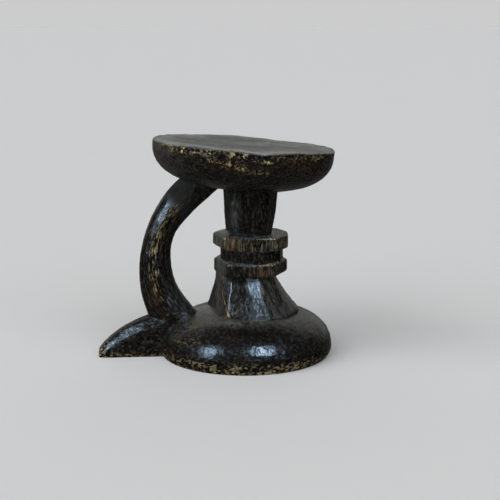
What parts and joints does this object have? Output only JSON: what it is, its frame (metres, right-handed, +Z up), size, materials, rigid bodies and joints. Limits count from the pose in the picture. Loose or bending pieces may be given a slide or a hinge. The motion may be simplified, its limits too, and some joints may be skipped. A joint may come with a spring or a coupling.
{
  "type": "carved wooden stool",
  "caption": "Low carved wooden stool with a round bowl-shaped seat, a hewn ringed column, a domed base, and a curved handle over a horn-shaped tail.",
  "frame": {"origin": "middle of the base's flat underside, on the ground", "axes": "+Z up, the handle and the tail along -X, the side seen in the picture towards -Y"},
  "size_m": [0.3244, 0.2463, 0.301],
  "materials": {
    "blackened_wood": "blackened and waxed hardwood, worn to ochre on the edges"
  },
  "bodies": {
    "root": {"carved_stool": "blackened_wood"}
  },
  "joints": []
}
